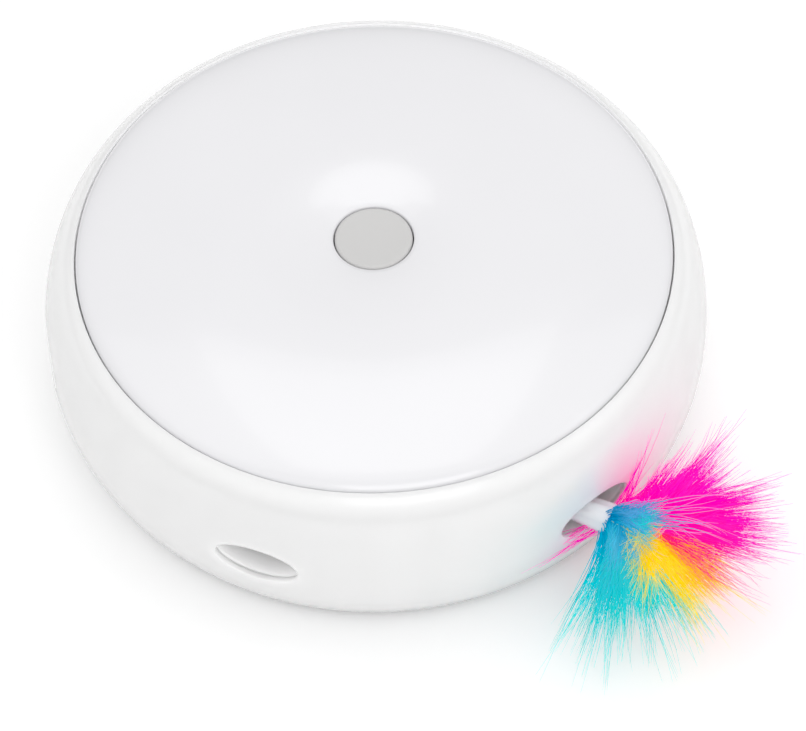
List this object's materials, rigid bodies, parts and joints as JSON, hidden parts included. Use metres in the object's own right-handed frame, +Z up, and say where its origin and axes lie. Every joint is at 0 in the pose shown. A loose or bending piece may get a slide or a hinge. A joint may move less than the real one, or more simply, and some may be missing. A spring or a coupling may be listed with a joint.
{
  "type": "automatic cat feather toy",
  "caption": "Round domed cat toy whose feather wand slides out of a port in its side wall, with a push button on top and a battery door beneath.",
  "frame": {"origin": "centre of the foot ring's flat underside, on the floor", "axes": "+Z up along the turntable's axis; +X along the axis of the port in which the wand stands"},
  "size_m": [0.2691, 0.22, 0.0725],
  "materials": {
    "shell_white": "gloss",
    "drum_grey": "satin",
    "lid_pearl": "high gloss",
    "button_grey": "fine matt",
    "tray_white": "fine matt",
    "foot_rubber": "matt",
    "steel": "bright",
    "gear_white": "satin",
    "cell_wrap": "gloss",
    "board_green": "satin",
    "dark_plastic": "satin",
    "gold_plate": "bright",
    "lead_sleeve": "matt",
    "turntable_white": "satin",
    "carriage_grey": "satin",
    "wand_white": "satin",
    "plug_cream": "matt",
    "plume_magenta": "downy",
    "plume_blue": "downy",
    "plume_yellow": "downy"
  },
  "bodies": {
    "housing": {"housing_shell": "shell_white", "port_drum": "drum_grey", "lid_dome": "lid_pearl", "base_tray": "tray_white", "foot_ring": "foot_rubber", "case_screws": "steel", "spindle": "steel", "thrust_washer": "gear_white", "turn_motor": "steel", "cell_left": "cell_wrap", "cell_middle": "cell_wrap", "cell_right": "cell_wrap", "battery_contacts": "steel", "battery_springs": "steel", "brush_block": "dark_plastic", "brush_leaves": "gold_plate", "lead_bundle": "lead_sleeve", "switch_board": "board_green", "board_parts": "dark_plastic", "board_screws": "steel", "switch_body": "dark_plastic", "button_spring": "steel", "retaining_clip": "steel"},
    "turning_pinion": {"turn_shaft": "steel", "turn_pinion": "gear_white"},
    "door": {"battery_door": "tray_white", "door_screw": "steel"},
    "button": {"button_cap": "button_grey", "switch_plunger": "dark_plastic"},
    "turret": {"turntable": "turntable_white", "turret_gear": "gear_white", "slip_ring_board": "board_green", "slip_tracks": "gold_plate", "slide_track": "turntable_white", "keeper_strips": "steel", "reach_motor": "steel", "reach_axle": "steel"},
    "carriage": {"rack_carriage": "carriage_grey"},
    "reach_wheel": {"reach_gear": "gear_white"},
    "reach_drive": {"reach_shaft": "steel", "reach_pinion": "gear_white"},
    "refill": {"wand_tube": "wand_white", "quill_plug": "plug_cream", "feather_magenta": "plume_magenta", "feather_blue": "plume_blue", "feather_yellow": "plume_yellow"}
  },
  "joints": [
    {"name": "button_press", "type": "slide", "parent": "housing", "child": "button", "axis": [0, 0, 1], "range_m": [-0.0008, 0], "stiffness_N_per_m": 900, "springref_m": 0.0012, "deforming": ["button_spring"]},
    {"name": "battery_door_swing", "type": "hinge", "parent": "housing", "child": "door", "pos_m": [-0.0555, -0.0306, 0.00285], "axis": [1, 0, 0], "range_deg": [-70, 0]},
    {"name": "turret_turn", "type": "hinge", "parent": "housing", "child": "turret", "pos_m": [0, 0, 0.022], "axis": [0, 0, 1], "range_deg": [-3, 3]},
    {"name": "turn_pinion_spin", "type": "hinge", "parent": "housing", "child": "turning_pinion", "pos_m": [0, 0.036, 0.019], "axis": [0, 0, 1], "range_deg": [-16, 16]},
    {"name": "wand_slide", "type": "slide", "parent": "turret", "child": "carriage", "axis": [0.9135, 0.4067, 0], "range_m": [-0.064, 0], "deforming": ["feather_magenta", "feather_blue", "feather_yellow"]},
    {"name": "reach_gear_spin", "type": "hinge", "parent": "turret", "child": "reach_wheel", "pos_m": [0.00906, -0.02771, 0.0312], "axis": [0, 0, 1], "range_deg": [-460, 5]},
    {"name": "reach_pinion_spin", "type": "hinge", "parent": "turret", "child": "reach_drive", "pos_m": [-0.01084, -0.02562, 0.042], "axis": [0, 0, 1], "range_deg": [-5, 1455]},
    {"name": "refill_pull", "type": "slide", "parent": "carriage", "child": "refill", "axis": [0.9135, 0.4067, 0], "range_m": [0, 0.018]}
  ],
  "couplings": [
    {"joint": "turn_pinion_spin", "follows": "turret_turn", "ratio": -5},
    {"joint": "reach_gear_spin", "follows": "wand_slide", "rad_per_m": 125},
    {"joint": "reach_pinion_spin", "follows": "wand_slide", "rad_per_m": -395.83}
  ]
}
